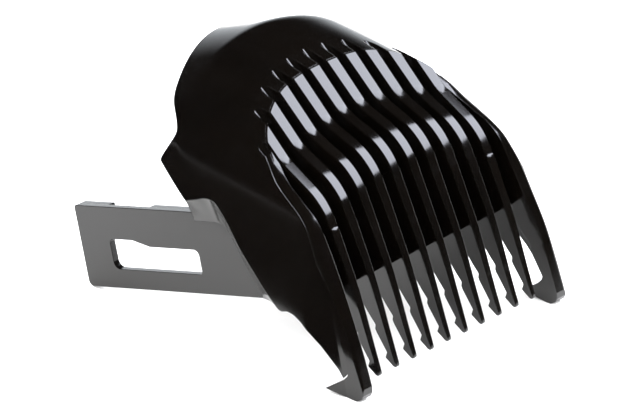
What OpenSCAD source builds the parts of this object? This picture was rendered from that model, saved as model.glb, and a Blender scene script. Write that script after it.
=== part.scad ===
// Clipper guard comb: a domed hood, two slide rails and a row of comb teeth.
// Side views are drawn in rail coordinates [u, v]: u runs forward from the rail ends,
// v runs up from the rails' lower edge. place() stands the finished comb on its feet.

/* [Comb] */
// Distance from one tooth to the next
tooth_pitch = 4; // [3.6:0.1:4.2]
// Number of slim teeth between the two side arms
tooth_count = 10; // [10]
// Width of a tooth crest at the hood
tooth_w_top = 2.2; // [1.8:0.1:2.4]
// Width of a tooth crest at its tip
tooth_w_tip = 0.9; // [0.8:0.1:1.2]
// Slot depth between teeth where they leave the hood
slot_depth_top = 1.5; // [1.2:0.1:1.8]
// Slot depth between teeth at the lower edge of the web
slot_depth_low = 2.45; // [2.2:0.05:2.8]
// Thickness of the web that joins the teeth
web_t = 1.4; // [1:0.1:1.8]

/* [Hood] */
// Wall thickness of the hood and the side skins
wall_t = 1.5; // [1.2:0.1:1.8]
// Slope of the dome down towards the arms
dome_a = 22.5; // [20:0.5:24]
// Steeper slope of the middle of the dome down towards the teeth
bow_a = 29.4; // [28:0.2:31]
// Slope of the brim down towards the open rear
brim_a = 6; // [5:1:12]

/* [Rails] */
// Distance between the outer faces of the two rails
rail_span = 41; // [40:0.5:42]
// Height of a rail
rail_h = 13.1; // [12.5:0.1:13.5]
// Thickness of a rail plate
rail_t = 1.2; // [1:0.1:1.4]
// Thickness of the pads on the inner side of a rail
pad_t = 1.4; // [1:0.1:1.8]
// Length of the pad at the free end of a rail
end_pad_l = 6.5; // [5:0.5:7]
// Height of the lower edge of the end pad above the lower edge of the rail
end_pad_v = 8.2; // [8:0.1:9]
// Height of the lower edge of the root pad above the lower edge of the rail
root_pad_v = 9; // [8:0.1:10]

/* [Arms] */
// Distance between the outer edges of the two arm crests
arm_span = 47.6; // [47:0.2:48.4]
// Width of an arm crest in the free zone
arm_w = 2.15; // [2:0.05:2.6]

/* [Hidden] */

// Outer comb surface: three straight runs [point, slope below horizontal] and two bends.
ramp_p = [38.3, 30.6];
ramp_a = 57;
mid_p = [45.2, 22.05];
mid_a = 34;
low_p = [51.3, 13.9];
low_a = 80.5;
bend_in_r = 6.5;
bend_out_r = 11;
// At the outer teeth the dip is shallower and sits lower
mid_p_side = [47, 18.7];
mid_a_side = 44;
side_x = 18;
// Upper end of the arm blade, under the dome
arm_top = [[37.5, 26.5], [41.5, 23.2]];
// How far up the slots are cut past the crease
ramp_run_up = 6;
// Lower edge of the web and the upper end of the teeth's thickness taper
web_low_v = 1.6;
taper_top_v = 25;
tip_v = -12.05;
bend_steps = 9;

// Front view of the hood at its ridge, from the side wall up to the middle [x, v]
ARCH = [
    [25, -40], [25, 9], [24.8, 13], [24, 17.8], [23, 22.6], [22.4, 25], [21.4, 27.4], [20, 29.4],
    [18.2, 31.3], [16, 32.6], [12, 34.6], [8, 35.8], [4, 36.5], [0, 36.8]
];
// Flatter arch, also at the ridge, of the steep middle of the dome
BOW = [
    [30, -40], [30, 20], [24, 31.4], [20, 33.3], [16, 34.7], [12, 35.9], [8, 36.5], [4, 36.7],
    [0, 36.8]
];
ridge_u = 27.3;
hood_reach = 75;

// Rear rim of the brim seen from above [x, u], and the ear behind each side
RIM = [
    [0, 18.5], [3.4, 18.65], [6.4, 19.1], [10.5, 20.2], [15.5, 22.4], [18.5, 24.1],
    [20.5, 25.7], [21.6, 26.5], [22.4, 27.2]
];
rim_notch = [27, 26.5];
ear_tip = [23.3, 22.2];
cheek_top_v = rim_notch[1];
// Upper end of the line between a cheek and an arm
CHEEK_FRONT = [[37.5, cheek_top_v], [40.2, 22.4]];

// The arms stand on their feet and the rails on their lower rear corners
foot = [55.3, -14.1];
stand_a = atan2(-foot[1], foot[0]);
arm_front = [57, -12.8];
arm_inner_x_top = 20.9;
arm_outer_x = arm_span / 2;
arm_inner_x_low = arm_outer_x - arm_w;
arm_taper_v = [-2.5, 10];
// Where along the comb the skin starts to narrow and has reached the arms' width
arm_narrow_u = [48, 53];
half_max = 26;
// Sections that reach towards the middle are cut off here
arm_limit_x = 10;
// Limits beyond the whole comb, behind, ahead, above and below it
rear_u = 10;
front_u = 60;
high_v = 45;
low_v = -30;
// How far up the ramp the rear face of the web is carried inside the dome
web_rise = 12;
// Length of a solid drawn from its front view
slice_l = 70;

rail_outer_x = rail_span / 2;
rail_inner_x = rail_outer_x - rail_t;
rail_front_u = 44;
rail_corner_r = 1;
root_pad_u = 14.9;
root_pad_l = 12;

// Rearmost and foremost points in the standing pose set the origin
rear_y = rail_h * sin(stand_a);
front_y = -(arm_front[0] * cos(stand_a) - arm_front[1] * sin(stand_a));
shift_y = -(rear_y + front_y) / 2;

function along(a) = [cos(a), -sin(a)];
function outward(a) = [sin(a), cos(a)];
function cross2(p, q) = p[0] * q[1] - p[1] * q[0];
function meet(p, a, q, b) = p + along(a) * cross2(q - p, along(b)) / cross2(along(a), along(b));
function mix(p, q, t) = p + (q - p) * t;

// Arc that is tangent to both runs at a corner
function bend(corner, a1, a2, r) =
    let (s = a2 > a1 ? 1 : -1)
    let (start = corner - along(a1) * r * tan(abs(a2 - a1) / 2))
    [for (i = [0 : bend_steps])
        let (a = mix(a1, a2, i / bend_steps))
        start + s * r * [sin(a) - sin(a1), cos(a) - cos(a1)]];

// Two bends of the comb surface, set back by d = [ramp, middle, low]
function bends(d, mp, ma) =
    let (p1 = ramp_p - outward(ramp_a) * d[0])
    let (p2 = mp - outward(ma) * d[1])
    let (p3 = low_p - outward(low_a) * d[2])
    concat(
        bend(meet(p1, ramp_a, p2, ma), ramp_a, ma, bend_in_r + d[1]),
        bend(meet(p2, ma, p3, low_a), ma, low_a, bend_out_r - d[1]));

// How far a tooth at x has changed from the middle profile to the side profile
function side_mix(x) = pow(abs(x) / side_x, 2);
function mid_point(x) = mix(mid_p, mid_p_side, side_mix(x));
function mid_slope(x) = mix(mid_a, mid_a_side, side_mix(x));
function low_line(v, d) = [low_p[0] + (low_p[1] - v) / tan(low_a) - d / sin(low_a), v];

floor_d = [slot_depth_top, (slot_depth_top + slot_depth_low) / 2, slot_depth_low];
back_d = [for (d = floor_d) d + web_t];
crest_d = [0, 0, 0];

// Point on the ramp, above the crease and set back by d, where slots run out of the dome
function ramp_top(d) = ramp_p - outward(ramp_a) * d - along(ramp_a) * ramp_run_up;

// Free end of a tooth, from the crest round the tip, hook and seat up to the web
TOOTH_END = [
    [55.55, -11.3], [55.6, -11.8], [55.35, tip_v], [54.5, -11.3], [53.6, -10.45], [54.1, -9.6],
    [52.9, -6.7], [52.65, -5.9], [53, -5.1], [52.2, -3.9], [51.2, -1.6]
];

// Shape of a tooth seen from the side; the web floor is its rear boundary
function tooth_outline(x) = concat(
    [ramp_top(slot_depth_top), ramp_top(0)],
    bends(crest_d, mid_point(x), mid_slope(x)),
    TOOTH_END,
    [low_line(web_low_v, slot_depth_low)],
    reverse_list(bends(floor_d, mid_point(x), mid_slope(x))));
function reverse_list(v) = [for (i = [len(v) - 1 : -1 : 0]) v[i]];

// Crest of an arm, a little ahead of the teeth in the free zone
ARM_CREST = [
    [43.9, 21.5], [45.6, 19.4], [47.3, 17.7], [50.4, 14.8], [51.6, 13.1], [52.6, 10.1], [53.5, 6.8],
    [54.4, 3.5], [55.9, -2.75], [56.75, -9.6], arm_front
];
ARM_FOOT = [[56.4, -13.6], foot, [54.7, -13.9], [50.1, -11.9], [52.6, -11.1], [54, -10.3]];
ARM_SEAT = [[54.6, -9.6], [53.3, -6.2], [53, -5.5], [53.4, -4.8], [52.1, -2.8], [51, -0.8]];
// Lower rear edge of the outer skin of an arm, with the small step beside the rail
ARM_SKIN_EDGE = [
    [53.45, -10.5], [53, -9.1], [50.8, -5.4], [48, -1.6], [46.4, -0.3], [45.7, 0], [44.5, -0.1]
];
// Line where the side skin turns in towards the rail
LIP = [[28.1, 16.2], [31.9, 16.6], [33.8, 16.1], [36.1, 12.7], [40.3, 5.6], [43.7, 0.3]];
// Line where the turned-in shoulder reaches the rail
shoulder_back = [-0.8, 1.4];
shoulder_x = 23.5;
RAIL_LINE = [[25.3, 11.7], [28.6, 11.7], [30.6, 11.4], [32.2, 10], [34.6, 4.5], [36.8, 0]];

// Front view of an arch in a plane square to slope a, with the wall set in by inset
function arch_point(arch, i, a) = [arch[i][0], arch[i][1] * cos(a) + ridge_u * sin(a)];
function arch_inset(arch, i, a, inset) =
    let (p = arch_point(arch, max(i - 1, 0), a))
    let (q = i == len(arch) - 1 ? arch_point(arch, i, a) + [-1, 0] : arch_point(arch, i + 1, a))
    let (t = (q - p) / norm(q - p))
    arch_point(arch, i, a) + [-t[1], t[0]] * inset;
function arch_half(arch, a, inset) = [
    for (i = [0 : len(arch) - 1]) arch_inset(arch, i, a, inset)
];
function arch_outline(arch, a, inset) =
    let (half = arch_half(arch, a, inset))
    let (left = [for (p = reverse_list(half)) if (p[0] > 0.5) [-p[0], p[1]]])
    concat(half, left);

// Solid through a row of closed sections with equal point counts
module strip(rings, fan) {
    n = len(rings[0]);
    last = len(rings) - 1;
    sides = [for (i = [0 : last - 1], j = [0 : n - 1])
        let (k = (j + 1) % n)
        each [
            [i * n + j, i * n + k, (i + 1) * n + k],
            [i * n + j, (i + 1) * n + k, (i + 1) * n + j]
        ]];
    first_cap = fan ? [for (j = [1 : n - 2]) [0, j + 1, j]] : [[for (j = [n - 1 : -1 : 0]) j]];
    last_cap = fan
        ? [for (j = [1 : n - 2]) [last * n, last * n + j, last * n + j + 1]]
        : [[for (j = [0 : n - 1]) last * n + j]];
    polyhedron([for (r = rings) each r], concat(sides, first_cap, last_cap), convexity = 6);
}

// Arch extruded along slope a, with its wall set in by inset
module arch_form(arch, a, inset) {
    rotate([90 + a, 0, 0]) linear_extrude(hood_reach, convexity = 4)
        polygon(arch_outline(arch, a, inset));
}

// The dome falls gently at its sides and more steeply in its middle
module dome_form(inset) {
    intersection() {
        arch_form(ARCH, dome_a, inset);
        arch_form(BOW, bow_a, inset);
    }
}

// Skin of the dome, open below
module dome_skin() {
    difference() {
        dome_form(0);
        dome_form(wall_t);
    }
}

// Skin of the brim, open below
module brim_skin() {
    difference() {
        arch_form(ARCH, -brim_a, 0);
        arch_form(ARCH, -brim_a, wall_t);
    }
}

// Extrudes a side view in rail coordinates between two x positions
module side_plate(x1, x2) {
    translate([x2, 0, 0]) rotate([90, 0, -90]) linear_extrude(x2 - x1, convexity = 6) children();
}

// Extrudes a front view in [x, v] along the whole length
module front_prism() {
    rotate([90, 0, 0]) linear_extrude(slice_l, convexity = 4) children();
}

// Stands the comb on its feet with the origin under its middle
module place() {
    translate([0, shift_y, 0]) rotate([-stand_a, 0, 0]) children();
}

module mirrored(side) {
    if (side > 0) children();
    else mirror([1, 0, 0]) children();
}

// Region behind the rear face of the web, drawn in side view
module behind_web(v1, v2) {
    line = bends(back_d, mid_p, mid_a);
    top = ramp_p - outward(ramp_a) * back_d[0] - along(ramp_a) * web_rise;
    polygon(concat([[rear_u, v1], [rear_u, v2]], [top], line, [low_line(v1, back_d[2])]));
}

module hood_crown() {
    color("#1b1a1c") place() intersection() {
        dome_skin();
        side_plate(-half_max, half_max) intersection() {
            behind_web(0, front_u);
            polygon([
                [front_u, cheek_top_v], [ridge_u, cheek_top_v], [ridge_u, high_v], [front_u, high_v]
            ]);
        }
    }
}

// Brim behind the ridge, cut to the curved rim
module hood_brim() {
    color("#1b1a1c") place() intersection() {
        brim_skin();
        side_plate(-half_max, half_max) polygon([
            [rear_u, cheek_top_v], [rear_u, high_v], [ridge_u, high_v], [ridge_u, cheek_top_v]
        ]);
        translate([0, 0, cheek_top_v]) linear_extrude(high_v - cheek_top_v) polygon(concat(
            [for (p = RIM) [p[0], -p[1]]],
            [[half_max, -ridge_u - 1], [-half_max, -ridge_u - 1]],
            [for (p = reverse_list(RIM)) if (p[0] > 0) [-p[0], -p[1]]]));
    }
}

module cheek(side) {
    color("#1b1a1c") place() mirrored(side) intersection() {
        dome_skin();
        side_plate(arm_limit_x, half_max) polygon(concat(
            [ear_tip, rim_notch],
            CHEEK_FRONT,
            reverse_list(LIP)));
    }
}

// The solid outer blade behind an arm crest
module arm_blade() {
    intersection() {
        dome_form(0);
        side_plate(arm_limit_x, half_max) polygon(concat(
            arm_top,
            ARM_CREST,
            ARM_FOOT,
            ARM_SEAT,
            [low_line(web_low_v, slot_depth_low)],
            reverse_list(bends(back_d, mid_p_side, mid_a_side))));
        front_prism() polygon([
            [arm_inner_x_low, low_v], [arm_inner_x_low, arm_taper_v[0]],
            [arm_inner_x_top, arm_taper_v[1]], [arm_inner_x_top, high_v], [half_max, high_v],
            [half_max, low_v]
        ]);
    }
}

// Narrows the arms from the flared skin to the width across their crests
module arm_plan() {
    translate([0, 0, low_v]) linear_extrude(high_v - low_v) polygon([
        [0, -rear_u], [half_max, -rear_u], [half_max, -arm_narrow_u[0]],
        [arm_outer_x, -arm_narrow_u[1]], [arm_outer_x, -front_u], [0, -front_u]
    ]);
}

module arm(side) {
    color("#1b1a1c") place() mirrored(side) intersection() {
        union() {
            arm_blade();
            intersection() {
                dome_skin();
                side_plate(arm_limit_x, half_max) polygon(concat(
                    CHEEK_FRONT,
                    [LIP[len(LIP) - 1]],
                    reverse_list(ARM_SKIN_EDGE),
                    [[54.6, -9.6], [53.6, 3.4], [50, 14], [43.9, 20.6]]));
            }
        }
        arm_plan();
    }
}

// Side view of the web at a tooth, open towards the hood
function web_outline(x) =
    let (mp = mid_point(x), ma = mid_slope(x))
    concat(
        [ramp_top(back_d[0]), ramp_top(floor_d[0])],
        bends(floor_d, mp, ma),
        [low_line(web_low_v, slot_depth_low), low_line(web_low_v, back_d[2])],
        reverse_list(bends(back_d, mp, ma)));
function tooth_x(number) = (number - (tooth_count + 1) / 2) * tooth_pitch;

// Web behind the teeth, in one strip for each tooth
module tooth_web() {
    color("#1b1a1c") place() intersection() {
        for (number = [1 : tooth_count]) {
            x1 = number == 1 ? -arm_inner_x_top : tooth_x(number) - tooth_pitch / 2;
            x2 = number == tooth_count ? arm_inner_x_top : tooth_x(number) + tooth_pitch / 2;
            side_plate(x1, x2) polygon(web_outline(tooth_x(number)));
        }
        dome_form(0);
    }
}

module tooth(number) {
    x = -tooth_x(number);
    top_half = tooth_w_top / 2;
    tip_half = tooth_w_tip / 2;
    color("#232225") place() intersection() {
        side_plate(x - tooth_pitch / 2, x + tooth_pitch / 2) polygon(tooth_outline(x));
        front_prism() polygon([
            [x - tip_half, tip_v - 1], [x - top_half, taper_top_v], [x - top_half, high_v],
            [x + top_half, high_v], [x + top_half, taper_top_v], [x + tip_half, tip_v - 1]
        ]);
        dome_form(0);
    }
}

// Window in a rail, with a raised rear part and a ramp down to the front part
module rail_window() {
    difference() {
        polygon([
            [6.4, 3.1], [6.4, 7.9], [11.3, 7.9], [14.7, 7], [24, 7], [24.9, 6.1], [24.9, 3.1]
        ]);
        translate([6.4, 3.1]) difference() {
            square(1.6);
            translate([1.6, 1.6]) circle(1.6, $fn = 40);
        }
    }
}

module rail(side) {
    color("#4c4a4b") place() mirrored(side) side_plate(rail_inner_x, rail_outer_x) difference() {
        polygon([[0, 0], [0, rail_h], [rail_front_u, rail_h], [rail_front_u, 0]]);
        rail_window();
        difference() {
            square(rail_corner_r);
            translate([rail_corner_r, rail_corner_r]) circle(rail_corner_r, $fn = 40);
        }
    }
}

// Thicker pad on the inner side of a rail, above or around its window
module rail_pad(side, u1, u2, v1) {
    color("#3a3839") place() mirrored(side) side_plate(rail_inner_x - pad_t, rail_inner_x) polygon([
        [u1, v1], [u1, rail_h], [u2, rail_h], [u2, v1]
    ]);
}

module root_pad(side) {
    rail_pad(side, root_pad_u, root_pad_u + root_pad_l, root_pad_v);
}

// Wedge that carries the side skin on the outer face of the rail
module rail_shoulder(side) {
    rings = [for (i = [0 : len(LIP) - 1])
        let (p = RAIL_LINE[i], q = LIP[i], r = q + shoulder_back)
        [
            [rail_outer_x, -r[0], r[1]], [half_max, -r[0], r[1]],
            [shoulder_x, -q[0], q[1]], [rail_outer_x, -p[0], p[1]]
        ]];
    color("#333233") place() mirrored(side) intersection() {
        strip(rings, true);
        dome_form(wall_t);
    }
}

hood_crown();
hood_brim();
cheek(-1);  // left_cheek
cheek(1);  // right_cheek
arm(-1);  // left_arm
arm(1);  // right_arm
tooth_web();
tooth(1);  // tooth_01
tooth(2);  // tooth_02
tooth(3);  // tooth_03
tooth(4);  // tooth_04
tooth(5);  // tooth_05
tooth(6);  // tooth_06
tooth(7);  // tooth_07
tooth(8);  // tooth_08
tooth(9);  // tooth_09
tooth(10);  // tooth_10
rail(-1);  // left_rail
rail(1);  // right_rail
rail_pad(-1, 0, end_pad_l, end_pad_v);  // left_rail_end_pad
rail_pad(1, 0, end_pad_l, end_pad_v);  // right_rail_end_pad
root_pad(-1);  // left_rail_root_pad
root_pad(1);  // right_rail_root_pad
rail_shoulder(-1);  // left_rail_shoulder
rail_shoulder(1);  // right_rail_shoulder
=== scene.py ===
import math

import bmesh
import bpy
from mathutils import Matrix, Vector


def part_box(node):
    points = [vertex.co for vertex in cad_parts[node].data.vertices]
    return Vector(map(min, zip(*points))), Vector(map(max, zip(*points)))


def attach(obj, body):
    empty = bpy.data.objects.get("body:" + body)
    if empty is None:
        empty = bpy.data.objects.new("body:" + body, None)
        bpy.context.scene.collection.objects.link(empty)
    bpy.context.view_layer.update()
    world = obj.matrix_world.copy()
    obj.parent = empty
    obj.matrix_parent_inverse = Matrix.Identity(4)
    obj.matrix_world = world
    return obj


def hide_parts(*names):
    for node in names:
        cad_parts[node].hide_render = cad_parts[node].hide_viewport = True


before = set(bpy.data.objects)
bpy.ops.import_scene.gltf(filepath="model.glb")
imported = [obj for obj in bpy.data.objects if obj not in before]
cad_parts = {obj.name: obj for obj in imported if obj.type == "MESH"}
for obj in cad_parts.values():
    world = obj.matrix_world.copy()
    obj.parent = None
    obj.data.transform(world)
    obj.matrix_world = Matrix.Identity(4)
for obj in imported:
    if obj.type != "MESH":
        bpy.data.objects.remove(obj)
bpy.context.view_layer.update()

# The looks of the clipper guard comb. Every piece is drawn in millimetres in the rails' own
# frame: x across, u forward from the rail ends, v up from the rails' lower edge. A mesh point
# is (x, -u, v), and PLACE stands the finished piece on its feet in the row frame. Slopes are
# in degrees below the direction of u.

MM = 0.001
RAIL_H = 13.1
FOOT = (55.3, -14.1)
STAND = math.atan2(-FOOT[1], FOOT[0])
SHIFT_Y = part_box("right_rail")[1][1] - RAIL_H * MM * math.sin(STAND)
TILT = Matrix.Rotation(-STAND, 4, "X")
PLACE = Matrix.Translation((0, SHIFT_Y, 0)) @ TILT @ Matrix.Scale(MM, 4)

# Limits beyond the whole comb, for solids that are cut or that cut
HALF = 27.0
ALL_U = (-10, 80)
LOW_V = -30
HIGH_V = 45
# Set-back that keeps a surface just behind the one it would otherwise share
GAP = 0.04

# Hood. The dome slopes by BOW_SLOPE in the middle and DOME_SLOPE at SLOPE_X, and the brim by
# the two values of BRIM_SLOPE. ARCH is the front view at the ridge, in (x, v).
WALL = 1.5
HALF_WIDTH = 25.0
RIDGE_U = 27.3
DOME_SLOPE = 22.8
BOW_SLOPE = 29.4
BRIM_SLOPE = (5, 12)
SLOPE_X = 18
RIDGE_SOFT = 0.9
RIDGE_LOW = 0.04
HOOD_REAR_U = 10
HOOD_FRONT_U = [33, 37, 41, 45, 49, 66]
ARCH_ROUNDS = 30
ARCH = [
    (25.0, -60), (25.0, 9), (24.8, 13), (24.0, 17.8), (23.0, 22.6), (22.4, 24.9), (21.4, 27.3),
    (20, 29.35), (18.2, 31.2), (16, 32.5), (12, 34.5), (8, 35.7), (4, 36.45), (0, 36.75)
]
# Side view of the skin, in (u, v): top, rear edge, ear, lip, and the line it meets the rail at
HOOD_TOP = (30, 43.4)
RIM = [
    (18.4, 38), (18.5, 36.2), (18.9, 35.4), (20.2, 34.1), (22.4, 31.9), (24.1, 30.15),
    (25.7, 28.5), (26.5, 27.1), (26.5, 26.1)
]
EAR = [
    (25.7, 25.0), (24.3, 23.5), (23.5, 22.6), (23.3, 22.2), (23.4, 21.8), (25.4, 19.4),
    (27.5, 16.9)
]
LIP = [
    (28.1, 16.2), (30.2, 16.4), (31.9, 16.6), (33.6, 16.1), (34.8, 14.7), (36.1, 12.7),
    (38.0, 9.1), (40.1, 5.8), (42.1, 2.6), (43.7, 0.4)
]
RAIL_LINE = [
    (25.3, 11.7), (28.0, 11.7), (30.1, 11.6), (31.6, 10.9), (32.4, 9.7), (33.1, 8.2),
    (34.0, 6.0), (34.9, 4.0), (35.9, 1.7), (36.7, 0)
]

# Comb surface. Three straight runs, each a point and a slope, with a bend between two of
# them. The _SIDE values hold at SIDE_X.
PITCH = 4.0
TEETH = 10
RAMP_P = (38.3, 30.6)
RAMP_A = 57
MID_P = (45.2, 22.05)
MID_A = 34
MID_P_SIDE = (47, 18.7)
MID_A_SIDE = 44
LOW_P = (51.3, 13.9)
LOW_A = 80.5
BEND_IN_R = 6.5
BEND_OUT_R = 11
SIDE_X = 18
# Depth of the slot floors and of the web's back below the crests, on the three runs
FLOOR_D = (1.5, 2.0, 2.45)
BACK_D = (2.9, 3.4, 3.85)

# Slots. SLOT_ENDS gives the run along the ramp and the added depth at both ends of a cutter.
SLOT_HALF = 0.9
SLOT_HIGH = 8
SLOT_STEPS = 20
SLOT_ENDS = ((-12, 0.9), (9, -0.25))

# Web behind the teeth
WEB_STEPS = 40
WEB_INTO_ARM = 0.3
WEB_UNDER_DOME = 0.6
WEB_SINK = 0.03
WEB_LOW_V = 1.6

# Teeth
TOOTH_HALF_TOP = 1.1
TOOTH_HALF_TIP = 0.47
TOOTH_TOP_V = 25
TOOTH_START = -6
TOOTH_INTO_WEB = 0.7
TOOTH_BACK_V = 2.2
TIP_V = -12.05
TOOTH_FRONT = [
    (52.1, 10.3), (52.95, 6.3), (53.55, 3.5), (54.2, -0.3), (54.95, -6.6), (55.55, -11.2)
]
TOOTH_END = [
    (55.57, -11.7), (55.35, TIP_V), (54.9, -11.85), (54.4, -11.3), (53.6, -10.45), (54.15, -9.6),
    (53.4, -7.8), (52.85, -6.5), (52.7, -5.9), (52.95, -5.25), (52.2, -3.9), (51.3, -2.1),
    (50.9, 1.0)
]

# Arms
ARM_CREST = [
    (43.9, 21.45), (45.6, 19.35), (47.3, 17.65), (48.9, 16.15), (50.35, 14.7), (51.5, 13.05),
    (52.1, 11.5), (52.6, 9.9), (53.5, 6.7), (54.35, 3.4), (55.15, 0.3), (55.85, -2.75),
    (56.4, -6.8), (56.7, -9.6), (56.96, -12.3)
]
ARM_FOOT = [(56.8, -13.2), (56.3, -13.8), FOOT, (54.4, -13.85), (52.4, -13.05), (50.2, -11.95)]
ARM_BARB = [(52.6, -11.1), (53.5, -10.75), (54.3, -10.2), (54.6, -9.7)]
ARM_SEAT = [
    (53.35, -6.2), (53.05, -5.6), (53.4, -4.8), (52.1, -2.8), (51.3, -1.4), (51.0, -0.8),
    (51.2, 1.6)
]
ARM_SKIN_EDGE = [
    (53.45, -10.5), (53.0, -9.2), (50.8, -5.4), (48, -1.6), (46.9, -0.6), (46.4, -0.35),
    (45.7, -0.1), (44.5, -0.15), (44.0, 0.1)
]
ARM_OUTER = 23.8
ARM_INNER_TOP = 20.94
# Inner face of an arm, in (x, v)
ARM_INNER = [
    (21.65, LOW_V), (21.65, -2.5), (21.19, 4), (ARM_INNER_TOP, 10), (ARM_INNER_TOP, HIGH_V)
]
ARM_MIN_X = 5
ARM_START = 4
ARM_BACK_START = 2.5
SKIN_START = -8
# Where the sides narrow from HALF_WIDTH to ARM_OUTER, and the reach of the cutter for it
NARROW_U = (48.5, 53.5)
NARROW_REACH_U = (40, 70)
NARROW_REACH_V = (-30, 30)
NARROW_CLEAR = 0.1
# Rounding of the outer crest edge: height, width across, depth
CREST_ROUND = [
    (21.5, 0.8, 0.3), (19, 2.4, 0.6), (14, 3.0, 0.8), (8, 2.4, 0.7), (0, 1.1, 0.5), (-12, 0.5, 0.3)
]
ROUND_STEPS = 10
ROUND_OVER = (1.5, 1.0)

# Rails. A rounded corner is a centre, a radius and two angles.
RAIL_OUT = 20.5
RAIL_IN = 19.3
RAIL_FRONT_U = 44.0
RAIL_REAR = [((1, 1), 1, 270, 180), ((0.4, RAIL_H - 0.4), 0.4, 180, 90)]
WINDOW_REAR = [((7.5, 4.3), 1.2, 270, 180), ((7.0, 7.2), 0.7, 180, 90)]
WINDOW_STEP = [(11.1, 7.9), (14.7, 7.0)]
WINDOW_FRONT = [((23.9, 6.0), 1, 90, 0), ((24.3, 3.7), 0.6, 0, -90)]
RAIL_EDGE_R = 0.16
INTO_RAIL = 0.2

# Pads on the rails: rear end, front end, lower edge
END_PAD = (0.05, 6.5, 8.2)
ROOT_PAD = (14.9, 26.9, 9.0)
PAD_T = 1.4
PAD_TOP_GAP = 0.05
PAD_EDGE_R = 0.2

# Shoulders. The hollow of the fillet is drawn towards HOLLOW_OUT beyond the rail.
SHOULDER_STEPS = 10
SHOULDER_GAP = 0.02
HOLLOW_OUT = 1.3
HOLLOW_AT = 0.45
SHOULDER_BACK = (-0.9, 1.3)
SHOULDER_T = 0.7

# Meshes: radius of rounded edges, and distances that merge points
EDGE_R = 0.22
MERGE = 1e-5
CLEAN = 0.0005

# Colours
PLASTIC = (0.0010, 0.0007, 0.0005)
# A touch darker copy of the black for the web: painted shade for its place deep between the teeth.
PLASTIC_PAINTED_SHADE = (0.0009, 0.0007, 0.0005)
# A lighter, greyer copy of the black for the rails and their pads: a painted reflection of the
# pale floor on their sides.
PLASTIC_PAINTED_REFLECTION = (0.0014, 0.0011, 0.0009)
WORN = (0.02, 0.019, 0.018)
FLOW_LIGHTER = 1.7
WORN_MM = 0.12


# Plane geometry -----------------------------------------------------------------------

def along(a):
    a = math.radians(a)
    return Vector((math.cos(a), -math.sin(a)))


def outward(a):
    a = math.radians(a)
    return Vector((math.sin(a), math.cos(a)))


def cross(p, q):
    return p[0] * q[1] - p[1] * q[0]


def mix(p, q, t):
    return p + (q - p) * t


def mix_point(p, q, t):
    return Vector((mix(p[0], q[0], t), mix(p[1], q[1], t)))


def meet(p, a, q, b):
    """Where the line through p at slope a meets the line through q at slope b."""
    return p + along(a) * cross(q - p, along(b)) / cross(along(a), along(b))


def bend(corner, a1, a2, r, steps=14):
    """Arc tangent to two straight runs at a corner."""
    s = 1 if a2 > a1 else -1
    start = corner - along(a1) * r * math.tan(math.radians(abs(a2 - a1)) / 2)
    points = []
    for i in range(steps + 1):
        a = mix(math.radians(a1), math.radians(a2), i / steps)
        b = math.radians(a1)
        turn = Vector((math.sin(a) - math.sin(b), math.cos(a) - math.cos(b)))
        points.append(start + turn * s * r)
    return points


def side_mix(x):
    return (abs(x) / SIDE_X) ** 2


def bends(d, x):
    """The two bends of the comb surface at x, set back by d on its three runs."""
    ma = mix(MID_A, MID_A_SIDE, side_mix(x))
    p1 = Vector(RAMP_P) - outward(RAMP_A) * d[0]
    p2 = mix_point(MID_P, MID_P_SIDE, side_mix(x)) - outward(ma) * d[1]
    p3 = Vector(LOW_P) - outward(LOW_A) * d[2]
    first = bend(meet(p1, RAMP_A, p2, ma), RAMP_A, ma, BEND_IN_R + d[1])
    second = bend(meet(p2, ma, p3, LOW_A), ma, LOW_A, BEND_OUT_R - d[1])
    return first + second


def ramp_point(d, run):
    """Point on the ramp set back by d, run mm below the middle crease."""
    return Vector(RAMP_P) - outward(RAMP_A) * d + along(RAMP_A) * run


def low_line(v, d):
    """Point at height v on the low run set back by d."""
    a = math.radians(LOW_A)
    return Vector((LOW_P[0] + (LOW_P[1] - v) / math.tan(a) - d / math.sin(a), v))


def extended(points):
    """The points with one more beyond each end, in line with the last two."""
    pts = [Vector(p) for p in points]
    return [pts[0] * 2 - pts[1]] + pts + [pts[-1] * 2 - pts[-2]]


def curve_through(points, steps=6):
    """Catmull-Rom curve through the points."""
    pts = extended(points)
    out = []
    for i in range(1, len(pts) - 2):
        p0, p1, p2, p3 = pts[i - 1:i + 3]
        for k in range(steps):
            t = k / steps
            out.append(0.5 * (2 * p1 + (p2 - p0) * t + (2 * p0 - 5 * p1 + 4 * p2 - p3) * t ** 2
                              + (3 * p1 - p0 - 3 * p2 + p3) * t ** 3))
    out.append(pts[-2])
    return out


def corner_arcs(corners, steps=8):
    points = []
    for centre, r, a1, a2 in corners:
        for k in range(steps + 1):
            a = math.radians(mix(a1, a2, k / steps))
            points.append((centre[0] + r * math.cos(a), centre[1] + r * math.sin(a)))
    return points


# Hood surface -------------------------------------------------------------------------

def relaxed(points, rounds):
    """Evens out the curvature of a curve and keeps its two ends."""
    for _ in range(rounds):
        inner = [(a + 2 * p + b) / 4 for a, p, b in zip(points, points[1:], points[2:])]
        points = [points[0]] + inner + [points[-1]]
    return points


def half_arch():
    mirrored = [(-x, v) for x, v in reversed(ARCH[1:-1])]
    bow = relaxed(curve_through(ARCH[1:] + mirrored), ARCH_ROUNDS)
    return [Vector(ARCH[0])] + bow[:len(bow) // 2 + 1]


arch_half = half_arch()


def inset_curve(points, d):
    """Open curve moved to its left by d; its last point lies on the middle plane."""
    out = []
    for i, p in enumerate(points):
        a = points[max(i - 1, 0)]
        b = points[i + 1] if i + 1 < len(points) else p + Vector((-1, 0))
        t = (b - a).normalized()
        out.append(p + Vector((-t[1], t[0])) * d)
    return out


def full_arch(inset):
    half = inset_curve(arch_half, inset)
    return half + [Vector((-p[0], p[1])) for p in reversed(half[:-1])]


def arch_height(x):
    """Height of the hood at its ridge, at x."""
    for a, b in zip(arch_half, arch_half[1:]):
        if b[0] <= abs(x) <= a[0] and a[0] > b[0]:
            return mix(b[1], a[1], (abs(x) - b[0]) / (a[0] - b[0]))
    return arch_half[1][1]


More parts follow.
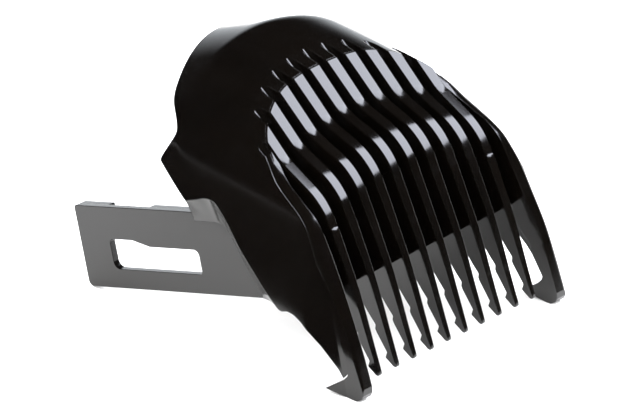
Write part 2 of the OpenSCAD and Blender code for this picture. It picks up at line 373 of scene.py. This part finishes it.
def hood_drop(x, u):
    """How far the hood lies below its ridge at x and u, with a softly rounded ridge."""
    t = u - RIDGE_U
    side = min(abs(x) / SLOPE_X, 1)
    side = side * side * (3 - 2 * side)
    front = math.tan(math.radians(mix(BOW_SLOPE, DOME_SLOPE, side)))
    rear = math.tan(math.radians(mix(*BRIM_SLOPE, side)))
    bow = (front + rear) / 2 * (math.hypot(t, RIDGE_SOFT) - RIDGE_SOFT)
    return (front - rear) / 2 * t + bow + RIDGE_LOW


def dome_height(x, u):
    return arch_height(x) - hood_drop(x, u)


def crease(x):
    """Where the dome meets the ramp of the comb at x."""
    steep = math.tan(math.radians(RAMP_A))
    u = RAMP_P[0]
    for _ in range(30):
        gap = dome_height(x, u) - (RAMP_P[1] - steep * (u - RAMP_P[0]))
        u -= gap / (steep - math.tan(math.radians(DOME_SLOPE)))
    return Vector((u, dome_height(x, u)))


def skin_x(u, v):
    """Half width of the outer skin at a side-view point."""
    height = v + hood_drop(HALF, u)
    for a, b in zip(arch_half, arch_half[1:]):
        if a[1] <= height <= b[1]:
            return mix(a[0], b[0], (height - a[1]) / (b[1] - a[1]))
    return arch_half[0][0]


def outer_x(u, v):
    """Half width of the finished comb at a side-view point of an arm."""
    narrow = (u - NARROW_U[0]) / (NARROW_U[1] - NARROW_U[0])
    return min(skin_x(u, v), mix(HALF_WIDTH, ARM_OUTER, min(max(narrow, 0), 1)))


# Meshes -------------------------------------------------------------------------------

def linked(name, data):
    obj = bpy.data.objects.new(name, data)
    bpy.context.collection.objects.link(obj)
    return obj


def new_mesh(name, verts, faces):
    mesh = bpy.data.meshes.new(name)
    mesh.from_pydata([tuple(v) for v in verts], [], faces)
    bm = bmesh.new()
    bm.from_mesh(mesh)
    bmesh.ops.remove_doubles(bm, verts=bm.verts, dist=MERGE)
    bmesh.ops.recalc_face_normals(bm, faces=bm.faces)
    bm.to_mesh(mesh)
    bm.free()
    return linked(name, mesh)


def ring_faces(rings, n):
    """Faces that join a number of rings of n points each."""
    faces = []
    for i in range(rings - 1):
        for j in range(n):
            k = (j + 1) % n
            faces.append((i * n + j, i * n + k, (i + 1) * n + k, (i + 1) * n + j))
    return faces


def loft(name, rings):
    """Closed solid through rings of equal point counts."""
    n = len(rings[0])
    verts = [p for ring in rings for p in ring]
    faces = ring_faces(len(rings), n)
    faces.append(tuple(reversed(range(n))))
    faces.append(tuple((len(rings) - 1) * n + j for j in range(n)))
    return new_mesh(name, verts, faces)


def side_prism(name, outline, x1, x2):
    """Side view outline in (u, v) between two x positions."""
    return loft(name, [[(x, -p[0], p[1]) for p in outline] for x in (x1, x2)])


def front_prism(name, outline):
    """Front view outline in (x, v) along the whole length."""
    return loft(name, [[(p[0], -u, p[1]) for p in outline] for u in ALL_U])


def baked(obj):
    """Replaces an object's mesh by the result of its modifiers."""
    graph = bpy.context.evaluated_depsgraph_get()
    mesh = bpy.data.meshes.new_from_object(obj.evaluated_get(graph))
    old = obj.data
    obj.modifiers.clear()
    obj.data = mesh
    bpy.data.meshes.remove(old)
    return obj


def cut(obj, tool, operation="DIFFERENCE", keep_tool=False):
    """Boolean of two solids, with the slivers it leaves merged away."""
    mod = obj.modifiers.new("cut", "BOOLEAN")
    mod.operation = operation
    mod.solver = "EXACT"
    mod.object = tool
    baked(obj)
    bm = bmesh.new()
    bm.from_mesh(obj.data)
    bmesh.ops.remove_doubles(bm, verts=bm.verts, dist=CLEAN)
    bmesh.ops.dissolve_degenerate(bm, edges=bm.edges, dist=CLEAN)
    bm.to_mesh(obj.data)
    bm.free()
    if not keep_tool:
        bpy.data.objects.remove(tool)
    return obj


def rounded(obj, width=EDGE_R, segments=3, angle=35):
    mod = obj.modifiers.new("edges", "BEVEL")
    mod.width = width
    mod.segments = segments
    mod.limit_method = "ANGLE"
    mod.angle_limit = math.radians(angle)
    return baked(obj)


def mirror_copy(obj, name):
    mesh = obj.data.copy()
    mesh.transform(Matrix.Scale(-1, 4, (1, 0, 0)))
    mesh.flip_normals()
    return linked(name, mesh)


def finish_piece(obj, material, nodes, smooth=32, flat=True):
    """Stands the piece up, shades it, and gives it its place in the frame.

    Edges sharper than smooth degrees stay sharp; flat keeps large faces evenly shaded.
    """
    obj.data.transform(PLACE)
    obj.data.shade_smooth()
    obj.data.set_sharp_from_angle(angle=math.radians(smooth))
    if flat:
        even = obj.modifiers.new("even", "WEIGHTED_NORMAL")
        even.keep_sharp = True
    obj.data.materials.clear()
    obj.data.materials.append(material)
    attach(obj, "root")
    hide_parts(*nodes)
    return obj


# Materials ----------------------------------------------------------------------------

def new_material(name, grey=None):
    """Principled material and its shader; a grey one is matt."""
    mat = bpy.data.materials.new(name)
    mat.use_nodes = True
    shader = mat.node_tree.nodes["Principled BSDF"]
    if grey is not None:
        shader.inputs["Base Color"].default_value = (grey, grey, grey, 1)
        shader.inputs["Specular IOR Level"].default_value = 0.0
    return mat, shader


def noise(tree, vector, scale, detail, stretch=(1, 1, 1)):
    size = tree.nodes.new("ShaderNodeMapping")
    size.inputs["Scale"].default_value = stretch
    tree.links.new(vector, size.inputs["Vector"])
    tex = tree.nodes.new("ShaderNodeTexNoise")
    tex.inputs["Scale"].default_value = scale
    tex.inputs["Detail"].default_value = detail
    tree.links.new(size.outputs["Vector"], tex.inputs["Vector"])
    return tex.outputs["Fac"]


def ramp(tree, value, source, target, kind="LINEAR"):
    """Carries a value from one pair of numbers to another."""
    node = tree.nodes.new("ShaderNodeMapRange")
    node.interpolation_type = kind
    for key, number in zip(("From Min", "From Max", "To Min", "To Max"), source + target):
        node.inputs[key].default_value = number
    tree.links.new(value, node.inputs["Value"])
    return node.outputs["Result"]


def maths(tree, kind, a, b):
    node = tree.nodes.new("ShaderNodeMath")
    node.operation = kind
    for socket, value in zip(node.inputs, (a, b)):
        if isinstance(value, (int, float)):
            socket.default_value = value
        else:
            tree.links.new(value, socket)
    return node.outputs["Value"]


def dot_product(tree, a, b):
    node = tree.nodes.new("ShaderNodeVectorMath")
    node.operation = "DOT_PRODUCT"
    for socket, value in zip(node.inputs, (a, b)):
        if isinstance(value, tuple):
            socket.default_value = value
        else:
            tree.links.new(value, socket)
    return node.outputs["Value"]


def blend(tree, factor, a, b):
    node = tree.nodes.new("ShaderNodeMix")
    node.data_type = "RGBA"
    tree.links.new(factor, node.inputs["Factor"])
    for key, value in (("A", a), ("B", b)):
        socket = [s for s in node.inputs if s.name == key and s.type == "RGBA"][0]
        if isinstance(value, tuple):
            socket.default_value = (*value, 1)
        else:
            tree.links.new(value, socket)
    return [s for s in node.outputs if s.type == "RGBA"][0]


def moulded_black(name, tint, gloss, wear, round_mm=0.0):
    """Black moulded plastic: fine flow marks, uneven gloss, hairline rubs and worn edges.

    gloss is the lowest roughness, wear how much edges are worn, and round_mm the radius that
    softens edges in the shading.
    """
    mat, shader = new_material(name)
    tree = mat.node_tree
    nodes, links = tree.nodes, tree.links
    shader.inputs["IOR"].default_value = 1.5
    shader.inputs["Specular IOR Level"].default_value = 0.5

    where = nodes.new("ShaderNodeTexCoord").outputs["Object"]
    flow = noise(tree, where, 90, 3, (1, 0.35, 1))
    cloud = noise(tree, where, 260, 4)
    grain = noise(tree, where, 2600, 2)
    rubs = noise(tree, where, 420, 5, (0.12, 1, 1))
    lighter = tuple(c * FLOW_LIGHTER for c in tint)
    base = blend(tree, ramp(tree, flow, (0.35, 0.65), (0, 1)), tint, lighter)

    edge = nodes.new("ShaderNodeBevel")
    edge.samples = 6
    edge.inputs["Radius"].default_value = max(round_mm, WORN_MM) * MM
    plain = nodes.new("ShaderNodeNewGeometry")
    turn = dot_product(tree, edge.outputs["Normal"], plain.outputs["Normal"])
    edges = ramp(tree, turn, (0.98, 0.8), (0, 1))
    patches = ramp(tree, cloud, (0.4, 0.6), (0.2, 1))
    worn = maths(tree, "MULTIPLY", maths(tree, "MULTIPLY", edges, patches), wear)
    links.new(blend(tree, worn, base, WORN), shader.inputs["Base Color"])

    rub_mask = ramp(tree, rubs, (0.6, 0.75), (0, 0.06))
    uneven = ramp(tree, cloud, (0.3, 0.7), (gloss, gloss + 0.05))
    rough = maths(tree, "ADD", uneven, rub_mask)
    rough = maths(tree, "ADD", rough, maths(tree, "MULTIPLY", worn, 0.15))
    links.new(rough, shader.inputs["Roughness"])

    bump = nodes.new("ShaderNodeBump")
    bump.inputs["Strength"].default_value = 0.05
    bump.inputs["Distance"].default_value = 0.00002
    links.new(maths(tree, "ADD", grain, flow), bump.inputs["Height"])
    if round_mm:
        links.new(edge.outputs["Normal"], bump.inputs["Normal"])
    links.new(bump.outputs["Normal"], shader.inputs["Normal"])
    return mat


GLOSS = moulded_black("gloss_black", PLASTIC, gloss=0.1, wear=0.5, round_mm=0.2)
TOOTH = moulded_black("tooth_black", PLASTIC, gloss=0.1, wear=0.8)
# The web's black is the darker copy, painted shade for the recess between the teeth.
INNER = moulded_black("inner_black", PLASTIC_PAINTED_SHADE, gloss=0.2, wear=0.2)
# The rails' black is the lighter copy, a painted reflection of the floor; their duller finish is
# the higher roughness.
RAIL = moulded_black("rail_black", PLASTIC_PAINTED_REFLECTION, gloss=0.16, wear=0.7)


# Hood and arms ------------------------------------------------------------------------

def hood_rings(arch):
    """Front view curve carried along the hood, lowered to its brim and dome."""
    near = [RIDGE_U + k * RIDGE_SOFT / 2 for k in range(-5, 6)]
    stations = [HOOD_REAR_U] + near + HOOD_FRONT_U
    return [[(p[0], -u, p[1] - hood_drop(p[0], u)) for p in arch] for u in stations]


def hood_solid(name, inset):
    """Solid hood shape, brim and dome in one, set in by inset."""
    return loft(name, hood_rings(full_arch(inset)))


def hood_skin(name):
    outer, inner = full_arch(0), full_arch(WALL)
    rings = hood_rings(outer + inner[::-1])
    n = len(outer)
    verts = [p for ring in rings for p in ring]
    faces = ring_faces(len(rings), 2 * n)
    for base in (0, (len(rings) - 1) * 2 * n):
        for j in range(n - 1):
            faces.append((base + j, base + j + 1, base + 2 * n - 2 - j, base + 2 * n - 1 - j))
    return new_mesh(name, verts, faces)


def slot_cutter(x):
    """Round-bottomed cutter for the upper end of one slot."""
    profile = [Vector((SLOT_HALF, SLOT_HIGH)), Vector((SLOT_HALF, SLOT_HALF))]
    for k in range(1, SLOT_STEPS):
        a = math.pi * k / SLOT_STEPS
        profile.append(Vector((SLOT_HALF * math.cos(a), SLOT_HALF - SLOT_HALF * math.sin(a))))
    profile += [Vector((-SLOT_HALF, SLOT_HALF)), Vector((-SLOT_HALF, SLOT_HIGH))]
    rings = []
    for run, deeper in SLOT_ENDS:
        ring = []
        for p in profile:
            q = ramp_point(FLOOR_D[0] + deeper, run) + outward(RAMP_A) * p[1]
            ring.append((x + p[0], -q[0], q[1]))
        rings.append(ring)
    return loft("slot", rings)


def make_hood():
    """Brim, dome and cheeks as one skin, with the slots cut in and both arms joined on."""
    rear = curve_through(RIM + EAR, 3)
    foot = curve_through(LIP, 3) + ARM_SKIN_EDGE[::-1] + ARM_BARB[-1:]
    front = ARM_CREST[::-1] + [ramp_point(GAP, SKIN_START), HOOD_TOP]
    hood = hood_skin("hood_shell")
    cut(hood, side_prism("outline", rear + foot + front, -HALF, HALF), "INTERSECT")
    for k in range(TEETH + 1):
        cut(hood, slot_cutter((k - TEETH / 2) * PITCH))
    for side in (1, -1):
        cut(hood, make_arm(side), "UNION")
        trim_side(hood, side)
    return hood


def make_arm(side):
    """Solid blade behind one arm crest."""
    blade = hood_solid("blade", GAP)
    outline = [ramp_point(GAP, ARM_START)] + ARM_CREST + ARM_FOOT + ARM_BARB + ARM_SEAT
    outline += bends(BACK_D, SIDE_X)[::-1]
    outline += [ramp_point(BACK_D[0], ARM_BACK_START), ramp_point(GAP, 0)]
    cut(blade, side_prism("side", outline, ARM_MIN_X * side, HALF * side), "INTERSECT")
    taper = ARM_INNER + [(HALF, HIGH_V), (HALF, LOW_V)]
    cut(blade, front_prism("taper", [(side * x, v) for x, v in taper]), "INTERSECT")
    return blade


def trim_side(obj, side):
    """Narrows a side to the width across the arm crests and rounds the crest."""
    rear, front = NARROW_REACH_U
    wide = HALF_WIDTH + NARROW_CLEAR
    plan = [
        (HALF, rear), (HALF, front), (ARM_OUTER, front), (ARM_OUTER, NARROW_U[1]),
        (wide, NARROW_U[0]), (wide, rear)
    ]
    rings = [[(side * x, -u, v) for x, u in plan] for v in NARROW_REACH_V]
    cut(obj, loft("plan", rings))
    return cut(obj, crest_rounder(side))


def crest_rounder(side):
    """Cutter that rounds the outer edge of an arm crest, most of all over its bulge."""
    ends = extended(ARM_CREST)
    crest = [ends[0]] + curve_through(ARM_CREST, 2) + [ends[-1]]
    over_x, over = ROUND_OVER
    rings = []
    for i, p in enumerate(crest):
        ahead = crest[min(i + 1, len(crest) - 1)]
        behind = crest[max(i - 1, 0)]
        way = (ahead - behind).normalized()
        out = Vector((-way[1], way[0]))
        wide, deep = round_size(p[1])
        x = outer_x(p[0], p[1])
        section = [(x + over_x, over), (x - wide, over)]
        for k in range(ROUND_STEPS + 1):
            a = math.pi / 2 * k / ROUND_STEPS
            section.append((x - wide + wide * math.sin(a), deep * (math.cos(a) - 1)))
        section.append((x + over_x, -deep))
        ring = []
        for across, off in section:
            q = p + out * off
            ring.append((side * across, -q[0], q[1]))
        rings.append(ring)
    return loft("crest", rings)


def round_size(v):
    """Width and depth of the rounding of an arm crest at height v."""
    for a, b in zip(CREST_ROUND, CREST_ROUND[1:]):
        if b[0] <= v <= a[0]:
            t = (v - a[0]) / (b[0] - a[0])
            return mix(a[1], b[1], t), mix(a[2], b[2], t)
    return CREST_ROUND[0 if v > 0 else -1][1:]


# Comb ---------------------------------------------------------------------------------

def tooth_half(v):
    return mix(TOOTH_HALF_TIP, TOOTH_HALF_TOP, (v - TIP_V) / (TOOTH_TOP_V - TIP_V))


def make_tooth(number, dome):
    """One tooth under the dome. Tooth 1 is on the right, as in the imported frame."""
    x = ((TEETH + 1) / 2 - number) * PITCH
    crest = bends((0, 0, 0), x)
    front = curve_through([crest[-1]] + TOOTH_FRONT, 3)
    root = [d + TOOTH_INTO_WEB for d in FLOOR_D]
    outline = [ramp_point(root[0], TOOTH_START), ramp_point(0, TOOTH_START)]
    outline += crest[:-1] + front + [Vector(p) for p in TOOTH_END]
    outline += [low_line(TOOTH_BACK_V, root[2])] + bends(root, x)[::-1]
    rings = [[(x + side * tooth_half(p[1]), -p[0], p[1]) for p in outline] for side in (-1, 1)]
    tooth = loft("tooth_%02d_body" % number, rings)
    rounded(tooth, segments=4)
    return cut(tooth, dome, "INTERSECT", keep_tool=True)


def make_web():
    """Wall behind the teeth, from arm to arm and up under the dome."""
    sunk = FLOOR_D[0] + WEB_SINK
    reach = ARM_INNER_TOP + WEB_INTO_ARM
    rings = []
    for i in range(WEB_STEPS + 1):
        x = mix(-reach, reach, i / WEB_STEPS)
        run = (crease(x) - Vector(RAMP_P)).dot(along(RAMP_A)) - WEB_UNDER_DOME
        outline = [ramp_point(BACK_D[0], run), ramp_point(sunk, run)]
        outline += bends((sunk, *FLOOR_D[1:]), x)
        outline += [low_line(WEB_LOW_V, FLOOR_D[2]), low_line(WEB_LOW_V, BACK_D[2])]
        outline += bends(BACK_D, x)[::-1]
        rings.append([(x, -p[0], p[1]) for p in outline])
    return loft("tooth_web_body", rings)


# Rails --------------------------------------------------------------------------------

def make_rail():
    outline = corner_arcs(RAIL_REAR) + [(RAIL_FRONT_U, RAIL_H), (RAIL_FRONT_U, 0)]
    plate = side_prism("rail", outline, RAIL_IN, RAIL_OUT)
    window = corner_arcs(WINDOW_REAR) + WINDOW_STEP + corner_arcs(WINDOW_FRONT)
    cut(plate, side_prism("window", window, RAIL_IN - 1, RAIL_OUT + 1))
    return rounded(plate, RAIL_EDGE_R)


def make_pad(rear, front, low):
    top = RAIL_H - PAD_TOP_GAP
    outline = [(rear, low), (rear, top), (front, top), (front, low)]
    pad = side_prism("pad", outline, RAIL_IN - PAD_T, RAIL_IN + INTO_RAIL)
    return rounded(pad, PAD_EDGE_R)


def make_shoulder():
    """Turned-in lower edge of the skin, with a hollow fillet where it reaches the rail."""
    lip = curve_through(LIP, 3)
    foot = curve_through(RAIL_LINE, 3)
    x_in = RAIL_IN + INTO_RAIL
    rings = []
    for p, q in zip(foot, lip):
        x_lip = skin_x(q[0], q[1]) - SHOULDER_GAP
        a = Vector((RAIL_OUT, p[0], p[1]))
        b = Vector((RAIL_OUT + HOLLOW_OUT, *mix_point(p, q, HOLLOW_AT)))
        c = Vector((x_lip, q[0], q[1]))
        ring = []
        for k in range(SHOULDER_STEPS + 1):
            t = k / SHOULDER_STEPS
            s = a * (1 - t) ** 2 + b * 2 * t * (1 - t) + c * t ** 2
            ring.append((s[0], -s[1], s[2]))
        u, v = q + Vector(SHOULDER_BACK)
        ring += [(x_lip - SHOULDER_T, -u, v), (x_in, -u, v), (x_in, -p[0], p[1])]
        rings.append(ring)
    return loft("shoulder", rings)


# Build --------------------------------------------------------------------------------

def build():
    hood_nodes = ["hood_crown", "hood_brim", "left_cheek", "right_cheek", "left_arm", "right_arm"]
    finish_piece(make_hood(), GLOSS, hood_nodes, smooth=13, flat=False)
    dome = hood_solid("dome", GAP / 2)
    for number in range(1, TEETH + 1):
        tooth = make_tooth(number, dome)
        finish_piece(tooth, TOOTH, ["tooth_%02d" % number], smooth=25)
    bpy.data.objects.remove(dome)
    finish_piece(make_web(), INNER, ["tooth_web"])
    makers = {
        "rail": (make_rail, RAIL, "rail_black"),
        "rail_end_pad": (lambda: make_pad(*END_PAD), RAIL, "rail_black"),
        "rail_root_pad": (lambda: make_pad(*ROOT_PAD), RAIL, "rail_black"),
        "rail_shoulder": (make_shoulder, GLOSS, "gloss_black"),
    }
    for part, (make, material, slot) in makers.items():
        right = make()
        right.name = "right_%s_body" % part
        left = mirror_copy(right, "left_%s_body" % part)
        finish_piece(right, material, ["right_" + part])
        finish_piece(left, material, ["left_" + part])


build()


# Studio -------------------------------------------------------------------------------

def sheet(name, outline, height, material):
    """Flat sheet with an outline in (x, y), in metres."""
    mesh = bpy.data.meshes.new(name)
    mesh.from_pydata([(x, y, height) for x, y in outline], [], [tuple(range(len(outline)))])
    mesh.materials.append(material)
    return linked(name, mesh)


def make_floor(half=6.0):
    mat, shader = new_material("pale_floor", grey=0.93)
    tree = mat.node_tree
    tex = tree.nodes.new("ShaderNodeTexNoise")
    tex.inputs["Scale"].default_value = 40
    rough = ramp(tree, tex.outputs["Fac"], (0, 1), (0.8, 0.95))
    tree.links.new(rough, shader.inputs["Roughness"])
    floor = sheet("floor", [(-half, -half), (half, -half), (half, half), (-half, half)], 0, mat)


def make_flag():
    """Black flag on the floor beside the comb; it is seen only in the gloss of the side skin."""
    edge = [(-36, -400), (-36, -14), (-44, 1), (-51, 12.5), (-57, 21), (-57, 2000)]
    outline = [(x * MM, y * MM) for x, y in edge + [(-3000, 2000), (-3000, -400)]]
    mat, shader = new_material("black_flag", grey=0.01)
    shader.inputs["Roughness"].default_value = 0.9
    flag = sheet("flag", outline, 0.2 * MM, mat)
    flag.visible_camera = False
    flag.visible_diffuse = False
    flag.visible_shadow = False


def make_world(fill, dark, glow):
    """Even fill for the floor; the gloss sees a dark room with a pale sweep low at the back."""
    world = bpy.data.worlds.new("studio")
    bpy.context.scene.world = world
    world.use_nodes = True
    tree = world.node_tree
    nodes, links = tree.nodes, tree.links
    bright = nodes["Background"]
    bright.inputs["Color"].default_value = (1, 1, 1, 1)
    bright.inputs["Strength"].default_value = fill
    room = nodes.new("ShaderNodeBackground")
    room.inputs["Color"].default_value = (0.9, 0.95, 1.0, 1)

    back = (0.755, 0.656, 0)
    way = nodes.new("ShaderNodeTexCoord").outputs["Generated"]
    split = nodes.new("ShaderNodeSeparateXYZ")
    links.new(way, split.inputs["Vector"])
    low = ramp(tree, split.outputs["Z"], (0.5, 0.0), (0, 1), "SMOOTHSTEP")
    facing = ramp(tree, dot_product(tree, way, back), (0.9, 1.0), (0, glow), "SMOOTHSTEP")
    total = maths(tree, "ADD", maths(tree, "MULTIPLY", low, facing), dark)
    links.new(total, room.inputs["Strength"])

    path = nodes.new("ShaderNodeLightPath")
    mixer = nodes.new("ShaderNodeMixShader")
    links.new(path.outputs["Is Glossy Ray"], mixer.inputs["Fac"])
    links.new(bright.outputs["Background"], mixer.inputs[1])
    links.new(room.outputs["Background"], mixer.inputs[2])
    links.new(mixer.outputs["Shader"], nodes["World Output"].inputs["Surface"])


def area_light(name, direction, distance, size, power, color):
    """Soft box in a direction from the middle of the comb, facing it."""
    light = bpy.data.lights.new(name, "AREA")
    light.shape = "RECTANGLE"
    light.size, light.size_y = size
    light.energy = power
    light.color = color
    obj = linked(name, light)
    middle = Vector((0, 0, 0.02))
    way = Vector(direction).normalized()
    obj.location = way * distance + middle
    obj.rotation_euler = (-way).to_track_quat("-Z", "Y").to_euler()


def make_camera():
    azimuth, elevation, roll = (math.radians(a) for a in (-49.0, 24.47, 0.30))
    distance = 1.0
    aim = Vector((-1.98, -1.12, 15.74)) * MM
    flat = math.cos(elevation)
    back = Vector((math.sin(azimuth) * flat, -math.cos(azimuth) * flat, math.sin(elevation)))
    camera = bpy.data.cameras.new("camera")
    camera.lens = 381.5
    camera.sensor_width = 36
    camera.clip_end = 50
    obj = linked("camera", camera)
    obj.location = aim + back * distance
    turn = (-back).to_track_quat("-Z", "Y").to_matrix().to_4x4()
    obj.matrix_world = Matrix.Translation(obj.location) @ turn @ Matrix.Rotation(roll, 4, "Z")
    bpy.context.scene.camera = obj


make_floor()
make_flag()
bpy.context.scene.view_settings.view_transform = "Standard"
make_world(fill=3.3, dark=0.008, glow=1.6)
area_light(
    "softbox", direction=(0.687, -0.366, 0.630), distance=0.8, size=(0.42, 0.36), power=5.2,
    color=(0.86, 0.89, 1.0)
)
make_camera()
